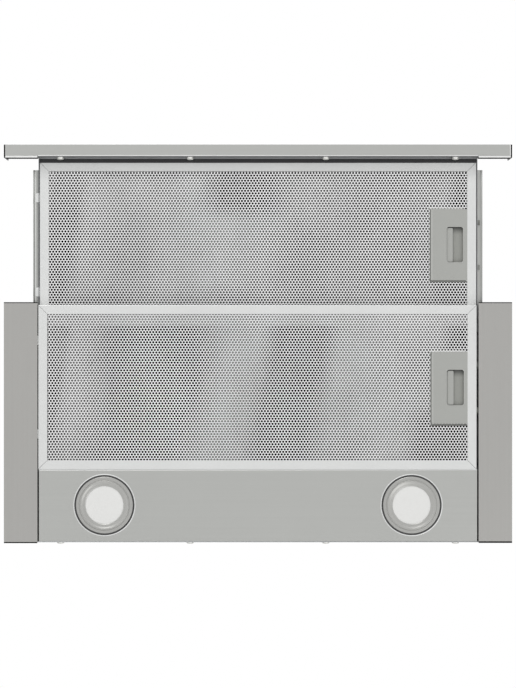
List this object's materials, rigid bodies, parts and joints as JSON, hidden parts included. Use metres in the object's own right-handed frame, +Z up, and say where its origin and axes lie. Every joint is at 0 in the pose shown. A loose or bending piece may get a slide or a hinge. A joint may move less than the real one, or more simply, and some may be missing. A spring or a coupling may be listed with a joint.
{
  "type": "range hood insert",
  "caption": "Slide-out cooker hood insert: steel casing, telescopic drawer on ball-bearing slides, hinged grease filters with latches, lamp panel, centrifugal fan and round duct collar.",
  "frame": {"origin": "middle of the bottom face of the whole hood, drawer pulled out", "axes": "+X to the right seen from the front, +Y from the front trim to the wall, +Z up to the duct"},
  "size_m": [0.598, 0.4704, 0.24],
  "materials": {
    "stainless": "brushed",
    "galvanised": "satin",
    "drawer_steel": "satin",
    "zinc_rail": "bright zinc",
    "bearing_steel": "polished",
    "screw_zinc": "bright zinc",
    "filter_aluminium": "satin",
    "filter_mesh": "satin",
    "latch_plastic": "fine grain",
    "black_plastic": "fine grain",
    "trim_plastic": "semi gloss",
    "motor_metal": "satin",
    "lamp_metal": "satin",
    "lamp_glass": "frosted"
  },
  "bodies": {
    "casing": {"back_panel": "galvanised", "cabinet_brackets": "galvanised", "cable_gland": "black_plastic", "capacitor": "motor_metal", "duct_collar": "black_plastic", "fan_motor": "motor_metal", "flap_pin": "bearing_steel", "front_crossmember": "galvanised", "lamp_bezels": "lamp_metal", "lamp_heat_sinks": "lamp_metal", "lamp_lenses": "lamp_glass", "lamp_panel": "stainless", "led_driver": "black_plastic", "motor_bracket": "galvanised", "motor_housing": "galvanised", "motor_housing_sides": "galvanised", "rail_outer_left": "zinc_rail", "rail_outer_right": "zinc_rail", "rear_screws": "screw_zinc", "scroll_half_left": "black_plastic", "scroll_half_right": "black_plastic", "side_cover_left": "stainless", "side_cover_right": "stainless", "side_panel_left": "galvanised", "side_panel_right": "galvanised", "terminal_box": "black_plastic", "terminal_box_lid": "black_plastic", "top_deck": "galvanised"},
    "drawer": {"drawer_frame": "drawer_steel", "drawer_cover": "drawer_steel", "front_trim": "stainless", "trim_end_caps": "trim_plastic", "trim_screws": "screw_zinc", "switch_bezel": "trim_plastic", "switch_block": "black_plastic", "rail_inner_left": "zinc_rail", "rail_inner_right": "zinc_rail", "front_filter_frame": "filter_aluminium", "front_filter_lower_mesh": "filter_mesh", "front_filter_mesh_pack": "filter_mesh", "front_latch_housing": "latch_plastic", "front_latch_spring": "bearing_steel"},
    "ball_cages": {"rail_cages": "zinc_rail", "rail_balls": "bearing_steel"},
    "rear_filter": {"rear_filter_frame": "filter_aluminium", "rear_filter_lower_mesh": "filter_mesh", "rear_filter_mesh_pack": "filter_mesh", "rear_latch_housing": "latch_plastic", "rear_latch_spring": "bearing_steel"},
    "front_latch": {"front_latch_slider": "latch_plastic"},
    "rear_latch": {"rear_latch_slider": "latch_plastic"},
    "fan_wheel": {"impeller": "black_plastic", "motor_shaft": "bearing_steel"},
    "flap_left": {"flap_left": "black_plastic"},
    "flap_right": {"flap_right": "black_plastic"},
    "button_light": {"button_light": "trim_plastic"},
    "button_off": {"button_off": "trim_plastic"},
    "button_low": {"button_low": "trim_plastic"},
    "button_medium": {"button_medium": "trim_plastic"},
    "button_high": {"button_high": "trim_plastic"}
  },
  "joints": [
    {"name": "drawer_slide", "type": "slide", "parent": "casing", "child": "drawer", "axis": [0, -1, 0], "range_m": [-0.1695, 0]},
    {"name": "cage_slide", "type": "slide", "parent": "casing", "child": "ball_cages", "axis": [0, -1, 0], "range_m": [-0.08475, 0]},
    {"name": "rear_filter_hinge", "type": "hinge", "parent": "casing", "child": "rear_filter", "pos_m": [-0.2599, 0.05, 0.0028], "axis": [0, 1, 0], "range_deg": [0, 35]},
    {"name": "front_latch_slide", "type": "slide", "parent": "drawer", "child": "front_latch", "axis": [-1, 0, 0], "range_m": [0, 0.006], "stiffness_N_per_m": 400, "springref_m": -0.004, "deforming": ["front_latch_spring"]},
    {"name": "rear_latch_slide", "type": "slide", "parent": "rear_filter", "child": "rear_latch", "axis": [-1, 0, 0], "range_m": [0, 0.006], "stiffness_N_per_m": 400, "springref_m": -0.004, "deforming": ["rear_latch_spring"]},
    {"name": "fan_spin", "type": "hinge", "parent": "casing", "child": "fan_wheel", "pos_m": [0, 0.06, 0.135], "axis": [1, 0, 0], "continuous": true},
    {"name": "flap_left_hinge", "type": "hinge", "parent": "casing", "child": "flap_left", "pos_m": [0, 0.116, 0.216], "axis": [0, 1, 0], "range_deg": [0, 75]},
    {"name": "flap_right_hinge", "type": "hinge", "parent": "casing", "child": "flap_right", "pos_m": [0, 0.116, 0.216], "axis": [0, -1, 0], "range_deg": [0, 75]},
    {"name": "button_light_press", "type": "slide", "parent": "drawer", "child": "button_light", "axis": [0, 1, 0], "range_m": [0, 0.0025], "stiffness_N_per_m": 400, "springref_m": -0.002},
    {"name": "button_off_press", "type": "slide", "parent": "drawer", "child": "button_off", "axis": [0, 1, 0], "range_m": [0, 0.0025], "stiffness_N_per_m": 400, "springref_m": -0.002},
    {"name": "button_low_press", "type": "slide", "parent": "drawer", "child": "button_low", "axis": [0, 1, 0], "range_m": [0, 0.0025], "stiffness_N_per_m": 400, "springref_m": -0.002},
    {"name": "button_medium_press", "type": "slide", "parent": "drawer", "child": "button_medium", "axis": [0, 1, 0], "range_m": [0, 0.0025], "stiffness_N_per_m": 400, "springref_m": -0.002},
    {"name": "button_high_press", "type": "slide", "parent": "drawer", "child": "button_high", "axis": [0, 1, 0], "range_m": [0, 0.0025], "stiffness_N_per_m": 400, "springref_m": -0.002}
  ],
  "couplings": [
    {"joint": "cage_slide", "follows": "drawer_slide", "ratio": 0.5}
  ]
}
